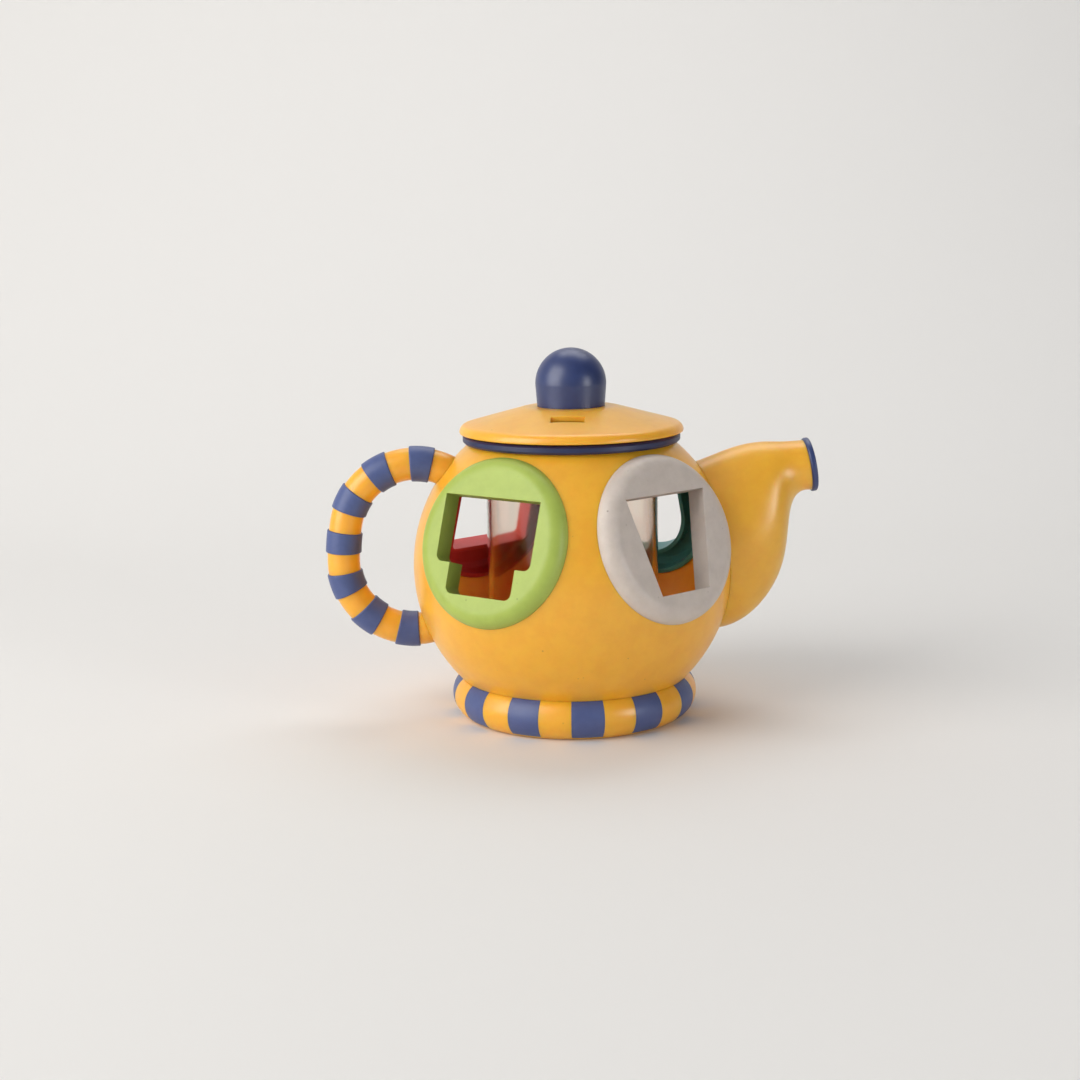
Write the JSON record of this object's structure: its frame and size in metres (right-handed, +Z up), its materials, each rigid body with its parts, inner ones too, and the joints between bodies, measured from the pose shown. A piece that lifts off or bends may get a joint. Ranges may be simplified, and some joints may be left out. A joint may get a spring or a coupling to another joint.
{
  "type": "toy teapot",
  "caption": "Posting teapot toy: round plastic pot with shaped holes in round plates, banded handle, hooked spout, striped foot ring, clear inner canister and lift-off lid with a ball knob.",
  "frame": {"origin": "on the table under the pot's axis, at the middle of the foot ring's flat", "axes": "+Z up, +X towards the spout, -Y towards the front, whose plates are green and beige"},
  "size_m": [0.2413, 0.1592, 0.18],
  "materials": {
    "yellow_plastic": "satin moulded plastic, faint speckle",
    "navy_plastic": "satin moulded plastic",
    "green_plastic": "satin moulded plastic",
    "beige_plastic": "satin moulded plastic",
    "red_plastic": "satin moulded plastic",
    "teal_plastic": "satin moulded plastic",
    "clear_plastic": "clear, slightly warm",
    "screw_steel": "zinc-plated"
  },
  "bodies": {
    "pot": {"body_shell": "yellow_plastic", "mouth_collar": "navy_plastic", "port_plate_green": "green_plastic", "port_plate_beige": "beige_plastic", "port_plate_red": "red_plastic", "port_plate_teal": "teal_plastic", "spout_shell": "yellow_plastic", "spout_lip": "navy_plastic", "handle_core": "yellow_plastic", "handle_band_1": "navy_plastic", "handle_band_2": "navy_plastic", "handle_band_3": "navy_plastic", "handle_band_4": "navy_plastic", "handle_band_5": "navy_plastic", "handle_band_6": "navy_plastic", "handle_band_7": "navy_plastic", "foot_ring": "yellow_plastic", "foot_stripe_01": "navy_plastic", "foot_stripe_02": "navy_plastic", "foot_stripe_03": "navy_plastic", "foot_stripe_04": "navy_plastic", "foot_stripe_05": "navy_plastic", "foot_stripe_06": "navy_plastic", "foot_stripe_07": "navy_plastic", "foot_stripe_08": "navy_plastic", "foot_stripe_09": "navy_plastic", "foot_stripe_10": "navy_plastic", "foot_stripe_11": "navy_plastic", "foot_stripe_12": "navy_plastic", "base_screws": "screw_steel"},
    "canister": {"canister": "clear_plastic"},
    "lid": {"lid_shell": "yellow_plastic", "lid_plug": "yellow_plastic", "knob": "navy_plastic", "knob_screw": "screw_steel"}
  },
  "joints": [
    {"name": "canister_lift", "type": "slide", "parent": "pot", "child": "canister", "axis": [0, 0, 1], "range_m": [0, 0.135]},
    {"name": "lid_lift", "type": "slide", "parent": "canister", "child": "lid", "axis": [0, 0, 1], "range_m": [0, 0.06]}
  ]
}
